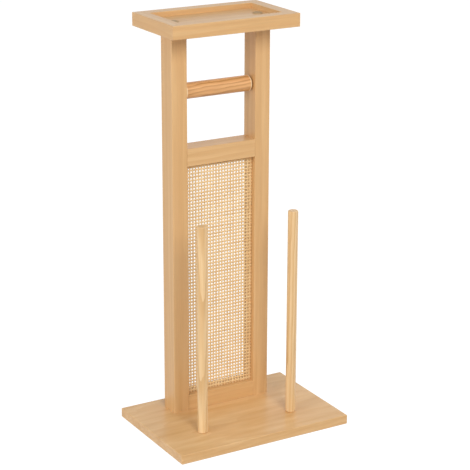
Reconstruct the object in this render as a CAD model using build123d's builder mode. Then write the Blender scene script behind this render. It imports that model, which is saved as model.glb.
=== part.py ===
"""Freestanding toilet roll holder.

Two posts stand on a base board and carry a shallow tray. A sprung roll bar spans them under the
tray, a cane mesh panel fills the frame below it, and two rods on the base hold spare rolls.

The origin is on the floor under the middle of the base board. +Z is up, and the rods stand on
the -Y side, which is the front. Lengths are in millimetres.
"""

import os
from math import atan, cos, degrees, pi, sin, sqrt

from build123d import *

os.makedirs("parts", exist_ok=True)

# Overall height, floor to the tray's rim
total_height = 650.0

# Base board
base_width = 300.0
base_depth = 204.0
base_thickness = 15.0

# Posts, centred left and right, and set in from the base's back edge
post_gap = 120.0
post_width = 26.0
post_depth = 34.0
post_setback = 28.0

# Rails between the posts
bottom_rail_height = 26.0
middle_rail_height = 28.0

# Window for the roll, from the tray down to the middle rail, and the bar's axis in it
window_height = 181.0
bar_drop = 94.0

# Tray, with its reach past the posts at each side, and past their front and back
tray_side_reach = 23.0
tray_front_reach = 48.5
tray_thickness = 21.0
tray_rim_width = 20.0
tray_recess = 8.0
tongue_depth = 5.0
tongue_height = 5.0
tongue_rise = 3.5

# Cane mesh panel, and the beads behind its edge
mesh_recess = 8.0
mesh_thickness = 1.2
mesh_columns = 9
mesh_rows = 28
mesh_strand = 3.0
mesh_edge_gap = 0.3
bead_size = 6.0

# Spare-roll rods, standing in from the base's front edge
rod_diameter = 16.0
rod_length = 336.0
rod_spacing = 161.0
rod_front_inset = 60.5
rod_chamfer = 1.0

# Roll bar, with the gaps between its ends and the posts
bar_diameter = 25.0
bar_chamfer = 2.0
bar_left_gap = 1.0
bar_right_gap = 2.0

# Fixed stud and sprung pin, both with a tapered nose
pin_diameter = 7.0
nose_diameter = 3.0
nose_length = 3.0
stud_engagement = 4.5
stud_seat_depth = 18.0
pin_engagement = 6.0
bush_diameter = 12.0
bush_length = 8.0
flange_diameter = 11.4
flange_thickness = 2.0
tail_diameter = 6.4
tail_length = 6.0

# Coil spring behind the sprung pin, as it lies at rest
spring_length = 20.0
spring_coil_radius = 4.6
spring_wire_width = 1.0
spring_turns = 4
spring_end_room = 0.1

# Countersunk screws with a hexagon socket, drawn with flats for few faces
screw_length = 50.0
screw_diameter = 5.0
screw_head_diameter = 9.6
screw_tip_diameter = 1.6
screw_tip_length = 4.0
screw_sides = 12
screw_sink = 0.4
socket_width = 4.0
socket_depth = 3.0
foot_screw_spacing = 22.0

# Cover caps over the tray's screws
cap_diameter = 15.0
cap_edge = 0.8
cap_height = 2.0
cap_bevel = 1.4
cap_stem_length = 2.4

# Fluted wooden dowels in the rail joints
dowel_diameter = 8.0
dowel_flutes = 12
dowel_length = 30.0
dowel_spacing = 16.0

# Brads of square wire through the beads
brad_width = 1.2
brad_length = 14.0
bead_brad_spacing = 70.0
side_brad_inset = 36.0
side_brad_count = 3

# Eased edges, and clearances
board_ease = 0.8
frame_ease = 0.5
hole_end_room = 1.0
fixed_clearance = 0.05
glue_gap = 0.1
running_clearance = 0.1

# Places worked out from the sizes above
post_x = (post_gap + post_width) / 2
post_y = base_depth / 2 - post_setback - post_depth / 2
post_front = post_y - post_depth / 2
tray_width = post_gap + 2 * (post_width + tray_side_reach)
tray_depth = post_depth + 2 * tray_front_reach
tray_underside = total_height - tray_thickness
tray_floor_top = total_height - tray_recess
post_length = tray_underside - base_thickness
rod_x = rod_spacing / 2
rod_y = rod_front_inset - base_depth / 2
bar_height = tray_underside - bar_drop
middle_rail_top = tray_underside - window_height
middle_rail_bottom = middle_rail_top - middle_rail_height
bottom_rail_top = base_thickness + bottom_rail_height
panel_height = middle_rail_bottom - bottom_rail_top
panel_middle = (middle_rail_bottom + bottom_rail_top) / 2
mesh_front = post_front + mesh_recess
bead_y = mesh_front + mesh_thickness + bead_size / 2
bar_left = -post_gap / 2 + bar_left_gap
bar_right = post_gap / 2 - bar_right_gap
pin_travel = bar_right_gap + pin_engagement
spring_bore_depth = bush_length + flange_thickness + spring_length
side_brad_span = panel_height - 2 * (bead_size + side_brad_inset)
side_brad_heights = [
    panel_middle + (i / (side_brad_count - 1) - 0.5) * side_brad_span for i in range(side_brad_count)
]
dowel_room = dowel_length / 2 + hole_end_room
screw_hole_diameter = screw_diameter + 2 * fixed_clearance
dowel_hole_diameter = dowel_diameter + 2 * fixed_clearance
# A countersink is wider at the surface than the head, which lies below it
sink_radius = screw_head_diameter / 2 + screw_sink + fixed_clearance
brad_hole_width = brad_width + 2 * fixed_clearance
pin_hole_radius = pin_diameter / 2 + running_clearance


# How a box or other block sits when it is cut into the face that it is placed on
into_face = (Align.CENTER, Align.CENTER, Align.MAX)


def facing(point, direction):
    """A plane at a point of a surface, facing out of it. Holes there are drilled inwards."""
    return Plane(origin=point, z_dir=direction)


def screw_section(diameter):
    return RegularPolygon(diameter / 2, screw_sides)


def dowel_section(diameter):
    return RegularPolygon(diameter / 2, dowel_flutes)


def save(part, name):
    part.label = name
    export_step(part, f"parts/{name}.step")


def pilot_depth(board_thickness):
    """How far a screw reaches past the board that its head is sunk into, with room at its tip."""
    return screw_length + screw_sink - board_thickness + hole_end_room


# Base board, drilled from below for the screws of both posts and both rods
post_points = [(side * post_x, post_y) for side in (-1, 1)]
foot_points = [(x, y + row * foot_screw_spacing / 2) for x, y in post_points for row in (-1, 1)]
rod_points = [(side * rod_x, rod_y) for side in (-1, 1)]

with BuildPart() as base_board:
    with BuildSketch(Plane.XY):
        Rectangle(base_width, base_depth)
    extrude(amount=base_thickness)
    chamfer(base_board.edges(), board_ease)
    with Locations(*[facing((x, y, 0), (0, 0, -1)) for x, y in foot_points + rod_points]):
        CounterSinkHole(screw_hole_diameter / 2, sink_radius)
save(base_board.part, "base_board")


# How far a brad's hole reaches into the frame behind its bead
brad_reach = brad_length - bead_size + hole_end_room


# Posts. Each has holes for its screws at both ends, and for dowels, brads and the bar's end
# on its inner face.
def build_post(side, pin_reach):
    inner_x = side * post_gap / 2
    inwards = (-side, 0, 0)
    dowel_points = [(post_y, base_thickness + bottom_rail_height / 2)]
    for row in (-1, 1):
        dowel_points.append((post_y + row * dowel_spacing / 2, middle_rail_top - middle_rail_height / 2))
    with BuildPart() as post:
        with BuildSketch(Plane.XY.offset(base_thickness)):
            with Locations((side * post_x, post_y)):
                Rectangle(post_width, post_depth)
        extrude(amount=post_length)
        chamfer(post.edges().filter_by(Axis.Z), frame_ease)
        foot_holes = [(x, y, base_thickness) for x, y in foot_points if x * side > 0]
        with BuildSketch(*[facing(point, (0, 0, -1)) for point in foot_holes]):
            screw_section(screw_hole_diameter)
        extrude(amount=-pilot_depth(base_thickness), mode=Mode.SUBTRACT)
        with BuildSketch(facing((side * post_x, post_y, tray_underside), (0, 0, 1))):
            screw_section(screw_hole_diameter)
        extrude(amount=-pilot_depth(tray_thickness - tray_recess), mode=Mode.SUBTRACT)
        with BuildSketch(*[facing((inner_x, y, z), inwards) for y, z in dowel_points]):
            dowel_section(dowel_hole_diameter)
        extrude(amount=-dowel_room, mode=Mode.SUBTRACT)
        with Locations(*[facing((inner_x, bead_y, z), inwards) for z in side_brad_heights]):
            Box(brad_hole_width, brad_hole_width, brad_reach, align=into_face, mode=Mode.SUBTRACT)
        with Locations(facing((inner_x, post_y, bar_height), inwards)):
            Hole(pin_hole_radius, depth=pin_reach + hole_end_room)
    return post.part


save(build_post(-1, stud_engagement), "left_post")
save(build_post(1, pin_engagement), "right_post")


# Rails, with dowel holes in their ends and brad holes where a bead lies
def build_rail(bottom, height, dowel_rows, bead_face, bead_side):
    middle = bottom + height / 2
    with BuildPart() as rail:
        with BuildSketch(Plane.XY.offset(bottom)):
            with Locations((0, post_y)):
                Rectangle(post_gap, post_depth)
        extrude(amount=height)
        chamfer(rail.edges().filter_by(Axis.X), frame_ease)
        for side in (-1, 1):
            end = [(side * post_gap / 2, post_y + row * dowel_spacing / 2, middle) for row in dowel_rows]
            with BuildSketch(*[facing(point, (side, 0, 0)) for point in end]):
                dowel_section(dowel_hole_diameter)
            extrude(amount=-dowel_room, mode=Mode.SUBTRACT)
            with Locations(facing((side * bead_brad_spacing / 2, bead_y, bead_face), (0, 0, bead_side))):
                Box(brad_hole_width, brad_hole_width, brad_reach, align=into_face, mode=Mode.SUBTRACT)
    return rail.part


save(build_rail(base_thickness, bottom_rail_height, [0], bottom_rail_top, 1), "bottom_rail")
save(build_rail(middle_rail_bottom, middle_rail_height, [-1, 1], middle_rail_bottom, -1), "middle_rail")

# Dowels across the rail joints: one in each end of the bottom rail, two in the middle rail.
# Their flutes are drawn as flats.
with BuildPart() as dowel:
    with BuildSketch(Plane.YZ):
        dowel_section(dowel_diameter)
    extrude(amount=dowel_length / 2, both=True)

with BuildPart() as rail_dowels:
    for side in (-1, 1):
        with Locations((side * post_gap / 2, post_y, base_thickness + bottom_rail_height / 2)):
            add(dowel.part)
        for row in (-1, 1):
            y = post_y + row * dowel_spacing / 2
            with Locations((side * post_gap / 2, y, middle_rail_top - middle_rail_height / 2)):
                add(dowel.part)
save(rail_dowels.part, "rail_dowels")

# Cane mesh panel: one flat face with a grid of square-cornered gaps
mesh_width = post_gap - 2 * mesh_edge_gap
mesh_height = panel_height - 2 * mesh_edge_gap
mesh_pitch_x = (post_gap - 2 * bead_size) / mesh_columns
mesh_pitch_z = (panel_height - 2 * bead_size) / mesh_rows

with BuildPart() as cane_panel:
    with BuildSketch(Plane(origin=(0, mesh_front, panel_middle), x_dir=(1, 0, 0), z_dir=(0, -1, 0))):
        Rectangle(mesh_width, mesh_height)
        with GridLocations(mesh_pitch_x, mesh_pitch_z, mesh_columns, mesh_rows):
            Rectangle(mesh_pitch_x - mesh_strand, mesh_pitch_z - mesh_strand, mode=Mode.SUBTRACT)
    extrude(amount=-mesh_thickness)
save(cane_panel.part, "cane_panel")


# Beads behind the mesh. The top and bottom ones run from post to post, the side ones between them.
def build_level_bead(middle_z):
    with BuildPart() as bead:
        with BuildSketch(Plane.YZ.offset(-post_gap / 2)):
            with Locations((bead_y, middle_z)):
                Rectangle(bead_size, bead_size)
        extrude(amount=post_gap)
        with Locations(*[(side * bead_brad_spacing / 2, bead_y, middle_z) for side in (-1, 1)]):
            Box(brad_hole_width, brad_hole_width, bead_size, mode=Mode.SUBTRACT)
    return bead.part


def build_side_bead(side):
    with BuildPart() as bead:
        with BuildSketch(Plane.XY.offset(bottom_rail_top + bead_size)):
            with Locations((side * (post_gap - bead_size) / 2, bead_y)):
                Rectangle(bead_size, bead_size)
        extrude(amount=panel_height - 2 * bead_size)
        with Locations(*[(side * (post_gap - bead_size) / 2, bead_y, z) for z in side_brad_heights]):
            Box(bead_size, brad_hole_width, brad_hole_width, mode=Mode.SUBTRACT)
    return bead.part


save(build_level_bead(middle_rail_bottom - bead_size / 2), "top_bead")
save(build_level_bead(bottom_rail_top + bead_size / 2), "bottom_bead")
save(build_side_bead(-1), "left_bead")
save(build_side_bead(1), "right_bead")

# Brads, driven from inside the frame through each bead. One is drawn along +Z from its head.
with BuildPart() as brad:
    with BuildSketch(Plane.XY):
        Rectangle(brad_width, brad_width)
    extrude(amount=brad_length)

with BuildPart() as bead_brads:
    for side in (-1, 1):
        x = side * bead_brad_spacing / 2
        with Locations(facing((x, bead_y, middle_rail_bottom - bead_size), (0, 0, 1))):
            add(brad.part)
        with Locations(facing((x, bead_y, bottom_rail_top + bead_size), (0, 0, -1))):
            add(brad.part)
        for z in side_brad_heights:
            with Locations(facing((side * (post_gap / 2 - bead_size), bead_y, z), (side, 0, 0))):
                add(brad.part)
save(bead_brads.part, "bead_brads")

# Tray floor, with a tongue all round that the rims hold
floor_width = tray_width - 2 * tray_rim_width
floor_depth = tray_depth - 2 * tray_rim_width
tongue_bottom = tray_underside + tongue_rise

with BuildPart() as tray_floor:
    with BuildSketch(Plane.XY.offset(tray_underside)):
        with Locations((0, post_y)):
            Rectangle(floor_width - 2 * glue_gap, floor_depth - 2 * glue_gap)
    extrude(amount=tray_thickness - tray_recess)
    with BuildSketch(Plane.XY.offset(tongue_bottom)):
        with Locations((0, post_y)):
            Rectangle(floor_width + 2 * tongue_depth, floor_depth + 2 * tongue_depth)
    extrude(amount=tongue_height)
    with Locations(*[facing((x, y, tray_floor_top), (0, 0, 1)) for x, y in post_points]):
        CounterSinkHole(screw_hole_diameter / 2, sink_radius)
save(tray_floor.part, "tray_floor")


# Tray rims: mitred at both ends, with a groove for the floor's tongue along the inside
def build_rim(outer_start, outer_end, inner_end, inner_start, along):
    with BuildPart() as rim:
        with BuildSketch(Plane.XY.offset(tray_underside)):
            with BuildLine():
                Polyline(outer_start, outer_end, inner_end, inner_start, close=True)
            make_face()
        extrude(amount=tray_thickness)
        chamfer(rim.edges().filter_by(along), frame_ease)
        with BuildSketch(Plane.XY.offset(tongue_bottom - glue_gap)):
            with Locations((0, post_y)):
                Rectangle(
                    floor_width + 2 * (tongue_depth + glue_gap),
                    floor_depth + 2 * (tongue_depth + glue_gap),
                )
        extrude(amount=tongue_height + 2 * glue_gap, mode=Mode.SUBTRACT)
    return rim.part


def tray_corner(x_side, y_side, inset):
    return (x_side * (tray_width / 2 - inset), post_y + y_side * (tray_depth / 2 - inset))


for name, start, end, along in [
    ("tray_front_rim", (-1, -1), (1, -1), Axis.X),
    ("tray_right_rim", (1, -1), (1, 1), Axis.Y),
    ("tray_back_rim", (1, 1), (-1, 1), Axis.X),
    ("tray_left_rim", (-1, 1), (-1, -1), Axis.Y),
]:
    outer = [tray_corner(*start, 0), tray_corner(*end, 0)]
    inner = [tray_corner(*end, tray_rim_width), tray_corner(*start, tray_rim_width)]
    save(build_rim(*outer, *inner, along), name)


# Screws. One is drawn with its head at the origin and its point along +Z.
def hexagon(width):
    return RegularPolygon(width / sqrt(3), 6)


def screw_taper(wide, narrow, length):
    """How far the flats lean as the screw narrows from one diameter to the other."""
    return degrees(atan(cos(pi / screw_sides) * (wide - narrow) / 2 / length))


head_depth = (screw_head_diameter - screw_diameter) / 2
tip_start = screw_length - screw_tip_length
head_taper = screw_taper(screw_head_diameter, screw_diameter, head_depth)
tip_taper = screw_taper(screw_diameter, screw_tip_diameter, screw_tip_length)

with BuildPart() as screw:
    with BuildSketch(Plane.XY):
        screw_section(screw_head_diameter)
    extrude(amount=head_depth, taper=head_taper)
    with BuildSketch(Plane.XY.offset(head_depth)):
        screw_section(screw_diameter)
    extrude(amount=tip_start - head_depth)
    with BuildSketch(Plane.XY.offset(tip_start)):
        screw_section(screw_diameter)
    extrude(amount=screw_tip_length, taper=tip_taper)
    with BuildSketch(Plane.XY):
        hexagon(socket_width)
    extrude(amount=socket_depth, mode=Mode.SUBTRACT)


def drive_screws(points, direction):
    with BuildPart() as driven:
        with Locations(*[facing(point, direction) for point in points]):
            add(screw.part)
    return driven.part


save(drive_screws([(x, y, screw_sink) for x, y in foot_points], (0, 0, 1)), "post_foot_screws")
save(drive_screws([(x, y, screw_sink) for x, y in rod_points], (0, 0, 1)), "rod_foot_screws")
tray_screw_z = tray_floor_top - screw_sink
save(drive_screws([(x, y, tray_screw_z) for x, y in post_points], (0, 0, -1)), "tray_screws")

# Cover caps: a bevelled disc on the tray floor, with a hexagonal stem in the screw's socket
with BuildPart() as cap:
    with BuildSketch(Plane.XY):
        Circle(cap_diameter / 2)
    extrude(amount=cap_height)
    chamfer(cap.edges().group_by(Axis.Z)[-1], cap_height - cap_edge, cap_bevel)
    with BuildSketch(Plane.XY):
        hexagon(socket_width - 2 * fixed_clearance)
    extrude(amount=-screw_sink - cap_stem_length)

with BuildPart() as screw_caps:
    with Locations(*[(x, y, tray_floor_top) for x, y in post_points]):
        add(cap.part)
save(screw_caps.part, "screw_caps")


# Spare-roll rods, chamfered at both ends, with a pilot hole in the foot
def build_rod(side):
    with BuildPart() as rod:
        with BuildSketch(Plane.XY.offset(base_thickness)):
            with Locations((side * rod_x, rod_y)):
                Circle(rod_diameter / 2)
        extrude(amount=rod_length)
        chamfer(rod.edges().filter_by(GeomType.CIRCLE), rod_chamfer)
        with BuildSketch(facing((side * rod_x, rod_y, base_thickness), (0, 0, -1))):
            screw_section(screw_hole_diameter)
        extrude(amount=-pilot_depth(base_thickness), mode=Mode.SUBTRACT)
    return rod.part


save(build_rod(-1), "left_rod")
save(build_rod(1), "right_rod")

# Roll bar: bored at its left end for the stud, and at its right end for the bush and spring
bar_axis = Axis((0, post_y, bar_height), (1, 0, 0))

with BuildPart() as roll_bar:
    with BuildSketch(Plane(origin=(bar_left, post_y, bar_height), z_dir=(1, 0, 0))):
        Circle(bar_diameter / 2)
    extrude(amount=bar_right - bar_left)
    chamfer(roll_bar.edges().filter_by(GeomType.CIRCLE), bar_chamfer)
    with Locations(facing((bar_left, post_y, bar_height), (-1, 0, 0))):
        Hole(pin_diameter / 2 + fixed_clearance, depth=stud_seat_depth)
    with Locations(facing((bar_right, post_y, bar_height), (1, 0, 0))):
        Hole(bush_diameter / 2 + fixed_clearance, depth=spring_bore_depth)
save(roll_bar.part, "roll_bar")


# Round pieces on the bar's axis are turned from half profiles: x along the bar, y out from its axis
turning_plane = Plane(origin=(0, post_y, bar_height), x_dir=(1, 0, 0), z_dir=(0, -1, 0))
pin_radius = pin_diameter / 2

# Fixed stud, with its nose in the left post
stud_tip = bar_left - bar_left_gap - stud_engagement
with BuildPart() as bar_stud:
    with BuildSketch(turning_plane):
        with BuildLine():
            Polyline(
                (stud_tip, 0),
                (stud_tip, nose_diameter / 2),
                (stud_tip + nose_length, pin_radius),
                (bar_left + stud_seat_depth, pin_radius),
                (bar_left + stud_seat_depth, 0),
                close=True,
            )
        make_face()
    revolve(axis=bar_axis)
save(bar_stud.part, "bar_stud")

# Sprung pin: nose in the right post, flange behind the bush, tail inside the spring
pin_tip = bar_right + pin_travel
flange_front = bar_right - bush_length - fixed_clearance
flange_back = bar_right - bush_length - flange_thickness
with BuildPart() as sprung_pin:
    with BuildSketch(turning_plane):
        with BuildLine():
            Polyline(
                (pin_tip, 0),
                (pin_tip, nose_diameter / 2),
                (pin_tip - nose_length, pin_radius),
                (flange_front, pin_radius),
                (flange_front, flange_diameter / 2),
                (flange_back, flange_diameter / 2),
                (flange_back, tail_diameter / 2),
                (flange_back - tail_length, tail_diameter / 2),
                (flange_back - tail_length, 0),
                close=True,
            )
        make_face()
    revolve(axis=bar_axis)
save(sprung_pin.part, "sprung_pin")

# Bush, flush with the bar's right end
with BuildPart() as pin_bush:
    with BuildSketch(Plane(origin=(bar_right, post_y, bar_height), z_dir=(1, 0, 0))):
        Circle(bush_diameter / 2)
        Circle(pin_hole_radius, mode=Mode.SUBTRACT)
    extrude(amount=-bush_length)
save(pin_bush.part, "pin_bush")


# Coil spring of square wire, from the floor of the bore to the flange. The wire follows half
# turns, each made of two arcs that meet in a common direction.
spring_end = spring_wire_width / 2 + spring_end_room
spring_start = bar_right - spring_bore_depth + spring_end
spring_pitch = (spring_length - 2 * spring_end) / spring_turns


def coil_point(turn):
    across = spring_coil_radius * cos(2 * pi * turn)
    up = spring_coil_radius * sin(2 * pi * turn)
    return Vector(spring_start + spring_pitch * turn, post_y + across, bar_height + up)


def coil_direction(turn):
    circle = 2 * pi * spring_coil_radius
    across = -circle * sin(2 * pi * turn)
    up = circle * cos(2 * pi * turn)
    return Vector(spring_pitch, across, up).normalized()


def add_two_arcs(start_turn, end_turn):
    start, end = coil_point(start_turn), coil_point(end_turn)
    leaving, arriving = coil_direction(start_turn), coil_direction(end_turn)
    chord = end - start
    spread = 2 * (1 - leaving.dot(arriving))
    fall = chord.dot(leaving + arriving)
    reach = (sqrt(fall * fall + spread * chord.dot(chord)) - fall) / spread
    first_corner = start + leaving * reach
    second_corner = end - arriving * reach
    middle = (first_corner + second_corner) * 0.5
    TangentArc(start, middle, tangent=leaving)
    TangentArc(middle, end, tangent=second_corner - first_corner)


with BuildPart() as pin_spring:
    with BuildLine() as wire_path:
        for half_turn in range(2 * spring_turns):
            add_two_arcs(half_turn / 2, (half_turn + 1) / 2)
    with BuildSketch(Plane(origin=coil_point(0), x_dir=(0, 1, 0), z_dir=coil_direction(0))):
        Rectangle(spring_wire_width, spring_wire_width)
    sweep(path=wire_path.wires()[0])
save(pin_spring.part, "pin_spring")

# Least gap between the spring's turns, on points along the middle of the wire
turn_steps = 24
wire_points = [coil_point(i / turn_steps) for i in range(turn_steps * spring_turns + 1)]
least_distance = min(
    (wire_points[i] - wire_points[j]).length
    for i in range(len(wire_points))
    for j in range(i + turn_steps // 2, len(wire_points))
)
print("least gap between the spring's turns:", round(least_distance - spring_wire_width, 2), "mm")
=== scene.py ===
# %% [markdown]
# # A freestanding toilet roll holder
#
# The stand is a wooden frame: a base board, two posts, two rails and a shallow tray. A sprung
# bar between the posts carries the roll in use, a woven cane panel fills the lower frame, and
# two rods keep spare rolls.
#
# The construction is already modelled as solids at real size. This script loads them as a fixed
# frame, then adds what solids don't hold well: the weave of the cane, a coil spring of round wire,
# the finish of every surface, and the studio around the stand.

# %% Load the frame
from math import cos, pi

import bmesh
import bpy
from mathutils import Matrix, Vector, noise


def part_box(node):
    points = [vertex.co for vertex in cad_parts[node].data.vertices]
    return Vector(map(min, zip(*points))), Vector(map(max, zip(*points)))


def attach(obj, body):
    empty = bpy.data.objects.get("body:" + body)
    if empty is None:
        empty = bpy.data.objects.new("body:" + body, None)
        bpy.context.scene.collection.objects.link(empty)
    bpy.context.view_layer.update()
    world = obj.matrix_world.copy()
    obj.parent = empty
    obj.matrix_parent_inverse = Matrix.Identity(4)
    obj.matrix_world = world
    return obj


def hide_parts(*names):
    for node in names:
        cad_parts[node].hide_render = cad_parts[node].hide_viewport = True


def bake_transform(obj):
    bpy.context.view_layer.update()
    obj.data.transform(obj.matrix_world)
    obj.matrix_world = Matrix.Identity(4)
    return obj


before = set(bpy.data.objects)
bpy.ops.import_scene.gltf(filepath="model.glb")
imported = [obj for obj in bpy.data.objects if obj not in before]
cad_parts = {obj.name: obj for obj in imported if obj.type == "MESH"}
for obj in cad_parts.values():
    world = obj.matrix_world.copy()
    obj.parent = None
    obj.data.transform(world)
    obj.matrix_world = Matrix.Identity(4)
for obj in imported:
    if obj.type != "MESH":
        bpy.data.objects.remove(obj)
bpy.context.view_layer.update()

# %% [markdown]
# ## Camera
#
# The picture was taken with a long lens, from the left of the stand and above it. A long lens
# keeps upright edges almost parallel. The camera is set by where it stands and how far it leans,
# because those are what a photographer would note down. Blender's camera looks down its own -Z
# axis, so it is tipped up by a quarter turn less its downward tilt, then turned about Z. The
# angles are in radians.

# %% Camera
camera_place = Vector((-1.2233, -2.0945, 1.1064))
camera_turn = -0.52896
camera_tilt = 0.31635
camera_roll = 0.0031
sensor_width_mm = 36.0
focal_length_mm = 126.46

camera_data = bpy.data.cameras.new("camera")
camera_data.sensor_width = sensor_width_mm
camera_data.lens = focal_length_mm
camera = bpy.data.objects.new("camera", camera_data)
bpy.context.scene.collection.objects.link(camera)
camera.matrix_world = (
    Matrix.Translation(camera_place)
    @ Matrix.Rotation(camera_turn, 4, "Z")
    @ Matrix.Rotation(pi / 2 - camera_tilt, 4, "X")
    @ Matrix.Rotation(camera_roll, 4, "Z")
)
bpy.context.scene.camera = camera
print("camera:", camera_place, "lens:", focal_length_mm, "mm")

# %% [markdown]
# ## Studio
#
# The stand is shown on pure white. Turning the lamps up until the floor burns out would bleach
# the wood too. So the white comes from the Light Path node instead. Rays from the camera, and
# those that gloss and glass send on, see a white floor and sky. All other rays meet a dim sky and
# a cream floor, which throws soft light back up and keeps the shaded wood warm. A little of a grey
# floor is added to what the camera sees, so that the stand keeps its shadow. Floor, sky and
# finishes are all made of nodes, so one function that adds any node comes first.

# %% One function that adds any node
def add_node(tree, kind, settings=None, inputs=None):
    """Adds a node. A value in inputs is a number or colour to set, or a socket to link from."""
    node = tree.nodes.new("ShaderNode" + kind)
    for name, value in (settings or {}).items():
        setattr(node, name, value)
    for socket, value in (inputs or {}).items():
        if isinstance(value, bpy.types.NodeSocket):
            tree.links.new(value, node.inputs[socket])
        else:
            node.inputs[socket].default_value = value
    return node


def picture_ray(tree):
    """1 for rays that end in the picture: the camera's own, and what gloss and glass show."""
    path = add_node(tree, "LightPath").outputs
    larger = {"operation": "MAXIMUM"}
    glossy = add_node(tree, "Math", larger, {0: path["Is Camera Ray"], 1: path["Is Glossy Ray"]})
    either = add_node(tree, "Math", larger, {0: glossy.outputs[0], 1: path["Is Transmission Ray"]})
    return either.outputs[0]


# %% Floor
floor_reach = 30.0
floor_bounce = (0.60, 0.52, 0.42, 1)
floor_white = 0.96
floor_shadow = (0.16, 0.16, 0.16, 1)

floor_bm = bmesh.new()
bmesh.ops.create_grid(floor_bm, x_segments=1, y_segments=1, size=floor_reach)
floor_mesh = bpy.data.meshes.new("floor")
floor_bm.to_mesh(floor_mesh)
floor_bm.free()
floor = bpy.data.objects.new("floor", floor_mesh)
bpy.context.scene.collection.objects.link(floor)

floor_paint = bpy.data.materials.new("white_studio_floor")
floor_paint.use_nodes = True
tree = floor_paint.node_tree
tree.nodes.clear()
bounce = add_node(tree, "BsdfDiffuse", inputs={"Color": floor_bounce})
shadow_keeper = add_node(tree, "BsdfDiffuse", inputs={"Color": floor_shadow})
glow = add_node(tree, "Emission", inputs={"Strength": floor_white})
seen = add_node(tree, "AddShader", inputs={0: glow.outputs[0], 1: shadow_keeper.outputs[0]})
either = add_node(
    tree, "MixShader", inputs={0: picture_ray(tree), 1: bounce.outputs[0], 2: seen.outputs[0]}
)
add_node(tree, "OutputMaterial", inputs={"Surface": either.outputs[0]})
floor_mesh.materials.append(floor_paint)
print("floor:", 2 * floor_reach, "m square")

# %% Sky
sky_light = 0.28

world = bpy.data.worlds.new("studio")
bpy.context.scene.world = world
world.use_nodes = True
tree = world.node_tree
sky = tree.nodes["Background"]
sky.inputs["Color"].default_value = (1, 1, 1, 1)
strength = add_node(
    tree,
    "MapRange",
    inputs={"Value": picture_ray(tree), "To Min": sky_light, "To Max": 1.0},
)
tree.links.new(strength.outputs["Result"], sky.inputs["Strength"])
bpy.context.scene.view_settings.view_transform = "Standard"
print("sky light:", sky_light)

# %% [markdown]
# ## Lamps
#
# A softbox is a large square lamp, and its size is what makes the edge of a shadow soft. The key
# stands high in front, and the left one lights the sides of the posts that the camera sees. The
# right one is weak and only opens the shadows. The back one is there for the views from behind
# and from the right. It stands well to the side, because the base and the tray would mirror a
# lamp that stands beyond them, where the camera looks.

# %% Lamps
stand_middle = Vector((0.0, 0.0, 0.32))


def add_softbox(name, place, width, power):
    """A square area lamp that faces the middle of the stand."""
    data = bpy.data.lights.new(name, "AREA")
    data.size = width
    data.energy = power
    lamp = bpy.data.objects.new(name, data)
    bpy.context.scene.collection.objects.link(lamp)
    lamp.location = place
    lamp.rotation_euler = (Vector(place) - stand_middle).to_track_quat("Z", "Y").to_euler()


add_softbox("key_softbox", (-0.5, -3.3, 2.65), 1.7, 92.0)
add_softbox("left_softbox", (-3.1, -0.55, 1.25), 2.0, 56.0)
add_softbox("right_softbox", (2.6, -1.4, 1.3), 2.0, 20.0)
add_softbox("back_softbox", (3.1, 1.5, 1.0), 1.6, 32.0)
print("lamps:", [lamp.name for lamp in bpy.data.lights])

# %% [markdown]
# ## Colours
#
# A paint colour is usually noted as an sRGB hex code, but the renderer adds up light in linear
# numbers. One function does that change, so that every colour below can be compared with a
# colour picked from a picture.

# %% Colours
def linear(hex_colour):
    """An sRGB hex code such as "#dab27e" as linear red, green, blue and alpha."""
    parts = [int(hex_colour[i : i + 2], 16) / 255 for i in (1, 3, 5)]
    return [p / 12.92 if p <= 0.04045 else ((p + 0.055) / 1.055) ** 2.4 for p in parts] + [1]


print("a tan wood, linear:", [round(v, 3) for v in linear("#dab27e")])

# %% [markdown]
# ## Wood
#
# Every wooden piece is cut from a log, so its lines are slices through growth rings, and they
# run along the piece. A flat picture of grain would break at each edge. A solid pattern doesn't:
# the rings are cylinders around the pith, a line somewhere outside the piece, and each face shows
# where it cuts them, long lines on the sides and arcs on the ends.
#
# The Wave texture draws such rings. Its saw profile rises slowly and drops at once, as a year's
# growth does: pale early wood darkens to a thin late edge. Rings are never round, so the texture's
# own distortion bends them, over a length that is much longer along the grain than across it.

# %% Growth rings
# The Wave texture draws a ring in every 0.314 of its units
wave_period = 2 * pi / 20
# Where in a year's growth the early wood starts to darken, and where it is darkest
late_range = {"From Min": 0.3, "From Max": 0.95}
ring_detail = 2.0


def grain_scale(grain, across_mm, along_mm):
    """How often a pattern repeats in a metre: fine across the grain and long along it."""
    return [1000 / (along_mm if axis == grain else across_mm) for axis in "XYZ"]


def ring_factor(tree, place, grain, ring_mm, bend_mm, wander, pith_mm, tilt):
    """0 in early wood, rising to 1 at a ring's late edge.

    ring_mm is a year's growth, wander is how many rings a ring may stray over a length of
    bend_mm, pith_mm is where the log's middle lies, and tilt is how far it leans.
    """
    from_pith = add_node(
        tree,
        "Mapping",
        inputs={"Vector": place, "Location": [-v / 1000 for v in pith_mm], "Rotation": tilt},
    ).outputs[0]
    scale = grain_scale(grain, ring_mm / wave_period, bend_mm)
    ring_place = add_node(tree, "Mapping", inputs={"Vector": from_pith, "Scale": scale}).outputs[0]
    rings = add_node(
        tree,
        "TexWave",
        {"wave_type": "RINGS", "rings_direction": grain, "wave_profile": "SAW"},
        {
            "Vector": ring_place,
            "Scale": 1.0,
            "Distortion": wander * 2 * pi,
            "Detail": ring_detail,
        },
    ).outputs["Fac"]
    return add_node(
        tree,
        "MapRange",
        {"interpolation_type": "SMOOTHSTEP"},
        late_range | {"Value": rings},
    ).outputs["Result"]


print("one wave of the Wave texture:", round(wave_period, 4), "of its units")

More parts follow.
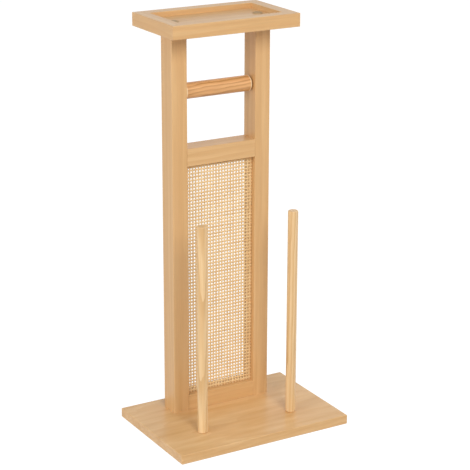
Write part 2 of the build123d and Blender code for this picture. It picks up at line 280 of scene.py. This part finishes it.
# %% [markdown]
# ## Streaks
#
# Two more patterns lie over the rings. Broad bands are where the board changes tone, and the
# rings fade there, as they do in real boards. Fibres are the fine lines that the pores draw.
# Each could be an image, but a board's faces would then need to be unwrapped. Noise that is
# stretched along the grain needs nothing but the place on the piece, and the cane uses it too.

# %% Streaks
noise_range = {"From Min": 0.3, "From Max": 0.7}


def streaks(tree, place, grain, width_mm, length_mm, detail):
    """Noise around 0.5 in streaks of about that width and length, along the grain."""
    scale = grain_scale(grain, width_mm, length_mm)
    stretched = add_node(tree, "Mapping", inputs={"Vector": place, "Scale": scale}).outputs[0]
    pattern = {"Vector": stretched, "Scale": 1.0, "Detail": detail}
    return add_node(tree, "TexNoise", inputs=pattern).outputs["Fac"]


print("noise is spread out between", noise_range["From Min"], "and", noise_range["From Max"])

# %% [markdown]
# ## What all finishes share
#
# Wood, cane, steel and plastic could each be written out in full, but they start from the same
# shader and end alike, in a fine pattern of their own. It makes the surface smoother and rougher,
# and higher and lower, in the same places, as real fibres or a real mould do. On all but the cane
# it changes the tone as well.

# %% What all finishes share
def start_finish(name):
    """A new material, its node tree, its shader, and the place on the piece."""
    material = bpy.data.materials.new(name)
    material.use_nodes = True
    tree = material.node_tree
    place = add_node(tree, "TexCoord").outputs["Object"]
    return material, tree, tree.nodes["Principled BSDF"], place


def mottled(tree, colour, pattern, share):
    """A colour that a noise pattern makes lighter and darker by up to a share."""
    spread = noise_range | {"Value": pattern, "To Min": 1 - share, "To Max": 1 + share}
    tone = add_node(tree, "MapRange", inputs=spread).outputs["Result"]
    multiply = {"data_type": "RGBA", "blend_type": "MULTIPLY"}
    return add_node(tree, "Mix", multiply, {0: 1.0, 6: colour, 7: tone}).outputs[2]


def roughen(tree, surface, pattern, gloss, relief):
    """Lets a noise pattern set the roughness and the relief.

    gloss is the lowest and highest roughness, and relief is a strength and a height in mm.
    """
    spread = noise_range | {"Value": pattern, "To Min": gloss[0], "To Max": gloss[1]}
    roughness = add_node(tree, "MapRange", inputs=spread).outputs["Result"]
    tree.links.new(roughness, surface.inputs["Roughness"])
    raised = {"Strength": relief[0], "Distance": relief[1] / 1000, "Height": pattern}
    normal = add_node(tree, "Bump", inputs=raised).outputs["Normal"]
    tree.links.new(normal, surface.inputs["Normal"])


print("helpers:", start_finish.__name__, mottled.__name__, roughen.__name__)

# %% [markdown]
# ## Wood finish
#
# The wood wears a satin lacquer. Under it the fibres roughen the wood and raise it a little, and
# a thin clear coat on top mirrors the pale room at low angles. Real pores are about 0.2 mm wide,
# too fine to show from here, so the fibres are drawn 1 mm wide.

# %% Wood finish
ring_fade = 0.3
fibre_width_mm = 1.0
fibre_length_mm = 45.0
wood_detail = 3.0
wood_gloss = (0.45, 0.6)
wood_relief = (0.25, 0.2)
lacquer = {"IOR": 1.48, "Coat Weight": 0.4, "Coat Roughness": 0.25, "Coat IOR": 1.5}


def wood_finish(name, grain, tones, rings, bands, fibre_share, pith_mm, tilt=(0, 0, 0)):
    """Lacquered wood whose grain runs along one axis.

    tones are hex colours: early wood, late wood and the tone of the bands. rings holds a year's
    growth in mm, the length over which it bends, how far it wanders and how much it shows. bands
    holds their width and length in mm and how much they show.
    """
    early, late, banded = [linear(tone) for tone in tones]
    ring_mm, bend_mm, wander, ring_share = rings
    band_mm, band_length_mm, band_share = bands
    material, tree, surface, place = start_finish(name)
    mix_colours = {"data_type": "RGBA"}

    band = streaks(tree, place, grain, band_mm, band_length_mm, wood_detail)
    banding = noise_range | {"Value": band}
    band_factor = add_node(tree, "MapRange", inputs=banding | {"To Max": band_share}).outputs[0]
    toned = add_node(tree, "Mix", mix_colours, {0: band_factor, 6: early, 7: banded}).outputs[2]

    late_edge = ring_factor(tree, place, grain, ring_mm, bend_mm, wander, pith_mm, tilt)
    fading = banding | {"To Min": ring_share, "To Max": ring_share * ring_fade}
    most_shown = add_node(tree, "MapRange", inputs=fading).outputs[0]
    ring_shown = {"Value": late_edge, "To Max": most_shown}
    ring_mix = add_node(tree, "MapRange", inputs=ring_shown).outputs[0]
    ringed = add_node(tree, "Mix", mix_colours, {0: ring_mix, 6: toned, 7: late}).outputs[2]

    fibres = streaks(tree, place, grain, fibre_width_mm, fibre_length_mm, wood_detail)
    colour = mottled(tree, ringed, fibres, fibre_share)
    tree.links.new(colour, surface.inputs["Base Color"])
    roughen(tree, surface, fibres, wood_gloss, wood_relief)
    for socket, value in lacquer.items():
        surface.inputs[socket].default_value = value
    return material


print("rings keep", ring_fade, "of their strength inside the bands")

# %% [markdown]
# ## Frame wood
#
# The frame looks like rubberwood under satin lacquer: golden tan and even, with soft long streaks.
# One material would do if all boards ran one way. Here there are three, one for each axis, and
# each piece takes the one that runs along it. The wide base has a fourth. It is sawn flat through
# the rings, so they spread into soft clouds on its top.

# %% Frame wood
frame_woods = {
    grain: wood_finish(
        "satin_rubberwood_along_" + grain.lower(),
        grain,
        tones=("#dab27e", "#c8965f", "#cfa36c"),
        rings=(11.0, 220.0, 0.9, 0.45),
        bands=(9.0, 260.0, 1.0),
        fibre_share=0.045,
        pith_mm=pith_mm,
    )
    for grain, pith_mm in (("X", (0, 260, -180)), ("Y", (170, 0, 460)), ("Z", (-190, 310, 0)))
}
flat_sawn_board = wood_finish(
    "satin_rubberwood_flat_sawn",
    "X",
    tones=("#e0ba87", "#c69358", "#d0a369"),
    rings=(9.0, 90.0, 1.1, 0.36),
    bands=(16.0, 110.0, 1.0),
    fibre_share=0.045,
    pith_mm=(0, -60, -260),
    tilt=(0, 0.05, 0),
)
print("frame woods:", [m.name for m in frame_woods.values()], flat_sawn_board.name)

# %% [markdown]
# ## Bar, rods and dowels
#
# The bar is pine, with thin brown late lines that are far stronger than the frame's. The middle of
# its log lies close by, below it and in front, and leans a little. So the lines run along the
# bar's front and make arches on other sides. The rods are turned from a paler dowel of the
# frame's wood, with arches where the rings lie flat. The dowels in the joints are beech. Real ones
# are bare, but closed joints hide them, so the lacquered finish serves them as well.

# %% Bar, rods and dowels
bar_pine = wood_finish(
    "lacquered_pine",
    "X",
    tones=("#e4b176", "#a87236", "#d8a16a"),
    rings=(6.0, 60.0, 0.7, 0.9),
    bands=(4.0, 45.0, 1.0),
    fibre_share=0.07,
    pith_mm=(0, 38, 505),
    tilt=(0, 0.06, 0.05),
)
rod_wood = wood_finish(
    "satin_rubberwood_dowel",
    "Z",
    tones=("#e8c99a", "#c09052", "#dcb784"),
    rings=(5.0, 120.0, 0.6, 0.75),
    bands=(4.0, 120.0, 1.0),
    fibre_share=0.04,
    pith_mm=(-66, -18, 0),
    tilt=(0.035, -0.02, 0),
)
dowel_beech = wood_finish(
    "lacquered_beech",
    "X",
    tones=("#dfc09a", "#c99f72", "#d9b68e"),
    rings=(3.0, 150.0, 0.3, 0.4),
    bands=(5.0, 80.0, 0.5),
    fibre_share=0.05,
    pith_mm=(0, 120, 400),
)
print("turned woods:", bar_pine.name, rod_wood.name, dowel_beech.name)

# %% [markdown]
# ## Painted highlight at the bar's ends
#
# A narrow ring at each end of the bar is painted paler. It is a painted highlight, where light
# catches the rounded end. The rings could be pieces of their own, but they are the same wood. So
# the pine mixes in a pale tone by how far a point is from the bar's middle, and the change takes
# about a millimetre.

# %% Painted highlight at the bar's ends
# Painted highlight: the pale tone stands in for light caught by the bar's rounded ends
painted_highlight_tone = "#fbe6bd"
painted_highlight_share = 0.9
painted_highlight_width = 0.003
half_change = 0.0006

bar_low, bar_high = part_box("roll_bar")
bar_middle = (bar_low.x + bar_high.x) / 2
painted_highlight_from = (bar_high.x - bar_low.x) / 2 - painted_highlight_width

tree = bar_pine.node_tree
bar_surface = tree.nodes["Principled BSDF"]
bar_colour = bar_surface.inputs["Base Color"].links[0].from_socket
place = add_node(tree, "TexCoord").outputs["Object"]
along = add_node(tree, "SeparateXYZ", inputs={"Vector": place}).outputs["X"]
subtract = {"operation": "SUBTRACT"}
off_middle = add_node(tree, "Math", subtract, {0: along, 1: bar_middle}).outputs[0]
outwards = add_node(tree, "Math", {"operation": "ABSOLUTE"}, {0: off_middle}).outputs[0]
change = {"From Min": painted_highlight_from - half_change, "From Max": painted_highlight_from + half_change}
highlight_spread = change | {"Value": outwards, "To Max": painted_highlight_share}
end_highlight_share = add_node(tree, "MapRange", inputs=highlight_spread).outputs["Result"]
end_highlight_mix = {0: end_highlight_share, 6: bar_colour, 7: linear(painted_highlight_tone)}
end_highlighted = add_node(tree, "Mix", {"data_type": "RGBA"}, end_highlight_mix).outputs[2]
tree.links.new(end_highlighted, bar_surface.inputs["Base Color"])
print("pale from", round(painted_highlight_from * 1000, 1), "mm off the bar's middle")

# %% [markdown]
# ## Steel and plastic
#
# The screws, brads, pins and spring are zinc-plated steel: bright, with a fine cloudiness where
# the plating grew unevenly. The caps and the bush are moulded plastic, which has a faint pebble
# from its mould. Both are plain, so one fine noise is enough for each.

# %% Steel and plastic
cloudiness = 0.05
mould_relief_strength = 0.4
mould_detail = 3.0


def moulded_finish(name, colour, grain_mm, gloss, metallic, relief_mm):
    """An even material with a fine cloudiness in its tone and gloss, and a slight relief."""
    material, tree, surface, place = start_finish(name)
    fine = {"Vector": place, "Scale": 1000 / grain_mm, "Detail": mould_detail}
    cloud = add_node(tree, "TexNoise", inputs=fine).outputs["Fac"]
    tinted = mottled(tree, linear(colour), cloud, cloudiness)
    tree.links.new(tinted, surface.inputs["Base Color"])
    roughen(tree, surface, cloud, gloss, (mould_relief_strength, relief_mm))
    surface.inputs["Metallic"].default_value = metallic
    return material


zinc_steel = moulded_finish("zinc_plated_steel", "#b9babb", 2.0, (0.22, 0.38), 1.0, 0.02)
cap_plastic = moulded_finish("moulded_cap_plastic", "#ab906b", 0.8, (0.65, 0.75), 0.0, 0.03)
bush_plastic = moulded_finish("moulded_bush_nylon", "#d9cdb4", 0.8, (0.35, 0.45), 0.0, 0.03)
print("plain finishes:", zinc_steel.name, cap_plastic.name, bush_plastic.name)

# %% [markdown]
# ## Dress the solids
#
# A solid that already has the right shape keeps its mesh and only gets its finish. The boards
# are listed by the way their grain runs, because a joiner always lays it along the piece.

# %% Dress the solids
finishes = {
    "base_board": flat_sawn_board,
    "left_post": frame_woods["Z"],
    "right_post": frame_woods["Z"],
    "bottom_rail": frame_woods["X"],
    "middle_rail": frame_woods["X"],
    "top_bead": frame_woods["X"],
    "bottom_bead": frame_woods["X"],
    "left_bead": frame_woods["Z"],
    "right_bead": frame_woods["Z"],
    "tray_floor": frame_woods["X"],
    "tray_front_rim": frame_woods["X"],
    "tray_back_rim": frame_woods["X"],
    "tray_left_rim": frame_woods["Y"],
    "tray_right_rim": frame_woods["Y"],
    "left_rod": rod_wood,
    "right_rod": rod_wood,
    "roll_bar": bar_pine,
    "rail_dowels": dowel_beech,
    "bead_brads": zinc_steel,
    "post_foot_screws": zinc_steel,
    "rod_foot_screws": zinc_steel,
    "tray_screws": zinc_steel,
    "screw_caps": cap_plastic,
    "bar_stud": zinc_steel,
    "sprung_pin": zinc_steel,
    "pin_bush": bush_plastic,
}
for node_name, material in finishes.items():
    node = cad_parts[node_name]
    node.data.materials.clear()
    node.data.materials.append(material)
print("dressed:", len(finishes), "of", len(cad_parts))

# %% [markdown]
# ## Cane
#
# The strands are the peeled skin of rattan: smooth and straw-coloured, with fine lines along them.
# A strand keeps nearly one tone and differs from its neighbours. Each could have a material of
# its own, but noise that is about as wide as the step from one strand to the next does the same,
# and a much finer noise draws the lines.

# %% Cane
cane_tones = ("#f0d3a2", "#e1ba83")
strand_tone_mm = (5.2, 60.0)
skin_line_mm = (0.4, 20.0)
cane_detail = 2.0
cane_gloss = (0.4, 0.6)
cane_relief = (0.3, 0.1)


def cane_finish(name, along):
    """Peeled cane whose strands run along one axis."""
    material, tree, surface, place = start_finish(name)
    tone = streaks(tree, place, along, *strand_tone_mm, cane_detail)
    spread = noise_range | {"Value": tone}
    factor = add_node(tree, "MapRange", inputs=spread).outputs["Result"]
    pale, dark = [linear(cane_tone) for cane_tone in cane_tones]
    mix = {0: factor, 6: pale, 7: dark}
    colour = add_node(tree, "Mix", {"data_type": "RGBA"}, mix).outputs[2]
    tree.links.new(colour, surface.inputs["Base Color"])
    lines = streaks(tree, place, along, *skin_line_mm, cane_detail)
    roughen(tree, surface, lines, cane_gloss, cane_relief)
    return material


upright_finish = cane_finish("peeled_cane_upright", "Z")
level_finish = cane_finish("peeled_cane_level", "X")
print("cane:", upright_finish.name, level_finish.name)

# %% [markdown]
# ## Cane mesh
#
# The panel is an open weave of flat cane strands: each one passes over the next and then under
# the one after. It could be drawn as a picture with holes, but the strands are thick enough to
# catch light and to hide each other from the side, so they are modelled. The sizes come first.
# Two layers of strands share the thickness of the panel that they replace.

# %% Sizes of the weave
panel_low, panel_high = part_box("cane_panel")
panel_middle = (panel_low + panel_high) / 2
panel_size = panel_high - panel_low
strand_width = 0.0031
strand_thickness = panel_size.y / 2
strand_sides = 6
column_pitch = 0.00516
row_pitch = 0.00538
column_count = 23
row_count = 70
steps_per_crossing = 4
print("strands:", column_count, "upright and", row_count, "level")

# %% [markdown]
# A strand starts as a flattened ring of a few points, and the spin operator draws it out in short
# steps. With an angle of 0 it only moves the ring on, and leaves it points enough to bend later.
# The copies stand side by side. Level strands are made upright too, and then laid down.

# %% Straight strands
def drawn_strands(count, pitch, length, level):
    """Straight strands side by side about the origin: along X if level, and else along Z."""
    bm = bmesh.new()
    # One unit across, so that scaling by a size gives the ring that size
    ring = bmesh.ops.create_circle(bm, segments=strand_sides, radius=0.5)["verts"]
    bmesh.ops.scale(bm, verts=ring, vec=(strand_width, strand_thickness, 1))
    bmesh.ops.translate(bm, verts=ring, vec=(0, 0, -length / 2))
    crossing_pitch = column_pitch if level else row_pitch
    steps = round(length / crossing_pitch) * steps_per_crossing
    bmesh.ops.spin(
        bm,
        geom=ring + bm.edges[:],
        cent=(0, 0, 0),
        axis=(0, 0, 1),
        dvec=(0, 0, length / steps),
        angle=0,
        steps=steps,
        use_duplicate=False,
    )
    open_edges = [edge for edge in bm.edges if edge.is_boundary]
    bmesh.ops.holes_fill(bm, edges=open_edges, sides=strand_sides)
    strand = bm.verts[:] + bm.edges[:] + bm.faces[:]
    bmesh.ops.translate(bm, verts=bm.verts, vec=(-(count - 1) / 2 * pitch, 0, 0))
    for copy in range(1, count):
        made = bmesh.ops.duplicate(bm, geom=strand)["geom"]
        moved = [part for part in made if isinstance(part, bmesh.types.BMVert)]
        bmesh.ops.translate(bm, verts=moved, vec=(copy * pitch, 0, 0))
    if level:
        lay_down = Matrix.Rotation(pi / 2, 3, "Y")
        bmesh.ops.rotate(bm, verts=bm.verts, cent=(0, 0, 0), matrix=lay_down)
    return bm


upright_strands = drawn_strands(column_count, column_pitch, panel_size.z, False)
level_strands = drawn_strands(row_count, row_pitch, panel_size.x, True)
print("points:", len(upright_strands.verts), "upright and", len(level_strands.verts), "level")

# %% [markdown]
# Every point is now pushed back or forwards along a cosine, one half wave between two crossings.
# Neighbours get opposite signs, and so do the two directions, so the strands pass over and under.
# A slow drift, the same for both directions, keeps the rows from looking ruled.

# %% Weave
drift = 0.00025
drift_length = 0.03


def weave_depth(across, across_pitch, along, along_pitch, side):
    """How far back a strand's middle is pushed at a place along it, or forwards if negative."""
    strand = round(across / across_pitch)
    return side * (-1) ** strand * strand_thickness / 2 * cos(pi * along / along_pitch)


def woven_piece(name, bm, side, level, material):
    """Bends straight strands over and under, lets them drift and puts them in the panel's place."""
    column_shift = (column_count - 1) / 2 % 1 * column_pitch
    row_shift = (row_count - 1) / 2 % 1 * row_pitch
    for vert in bm.verts:
        x, z = vert.co.x - column_shift, vert.co.z - row_shift
        if level:
            vert.co.y += weave_depth(z, row_pitch, x, column_pitch, side)
        else:
            vert.co.y += weave_depth(x, column_pitch, z, row_pitch, side)
    for vert in bm.verts:
        sway = noise.noise_vector(vert.co / drift_length) * drift
        vert.co.x += sway.x
        vert.co.z += sway.z
    bmesh.ops.translate(bm, verts=bm.verts, vec=panel_middle)
    bmesh.ops.recalc_face_normals(bm, faces=bm.faces)
    for face in bm.faces:
        face.smooth = True
    mesh = bpy.data.meshes.new(name)
    bm.to_mesh(mesh)
    print(name, "triangles:", sum(len(face.verts) - 2 for face in bm.faces))
    bm.free()
    mesh.materials.append(material)
    piece = bpy.data.objects.new(name, mesh)
    bpy.context.scene.collection.objects.link(piece)
    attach(piece, "stand")
    return piece


upright_cane = woven_piece("upright_cane_strands", upright_strands, 1, False, upright_finish)
level_cane = woven_piece("level_cane_strands", level_strands, -1, True, level_finish)
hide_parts("cane_panel")
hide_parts("cane_panel")

# %% [markdown]
# ## Return spring
#
# A coil spring in the bar's bore pushes the pin out. The solid one can't be squeezed. It is hidden,
# and a ring of wire is spun along a helix in its place: the spin operator turns it about the bar's
# axis and moves it on a little at each step.

# %% Return spring
spring_low, spring_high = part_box("pin_spring")
spring_middle = (spring_low + spring_high) / 2
wire_radius = 0.0005
wire_sides = 10
coil_turns = 4
steps_per_turn = 32
coil_radius = (spring_high.z - spring_low.z) / 2 - wire_radius
coil_length = spring_high.x - spring_low.x - 2 * wire_radius

bm = bmesh.new()
ring = bmesh.ops.create_circle(bm, segments=wire_sides, radius=wire_radius)["verts"]
start = (spring_low.x + wire_radius, spring_middle.y + coil_radius, spring_middle.z)
bmesh.ops.translate(bm, verts=ring, vec=start)
steps = coil_turns * steps_per_turn
bmesh.ops.spin(
    bm,
    geom=ring + bm.edges[:],
    cent=spring_middle,
    axis=(1, 0, 0),
    dvec=(coil_length / steps, 0, 0),
    angle=2 * pi * coil_turns,
    steps=steps,
    use_duplicate=False,
)
open_edges = [edge for edge in bm.edges if edge.is_boundary]
bmesh.ops.holes_fill(bm, edges=open_edges, sides=wire_sides)
bmesh.ops.recalc_face_normals(bm, faces=bm.faces)
for face in bm.faces:
    face.smooth = True
spring_mesh = bpy.data.meshes.new("return_spring")
bm.to_mesh(spring_mesh)
bm.free()
spring_mesh.materials.append(zinc_steel)
return_spring = bpy.data.objects.new("return_spring", spring_mesh)
bpy.context.scene.collection.objects.link(return_spring)
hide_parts("pin_spring")
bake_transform(return_spring)
print("return_spring faces:", len(spring_mesh.polygons))
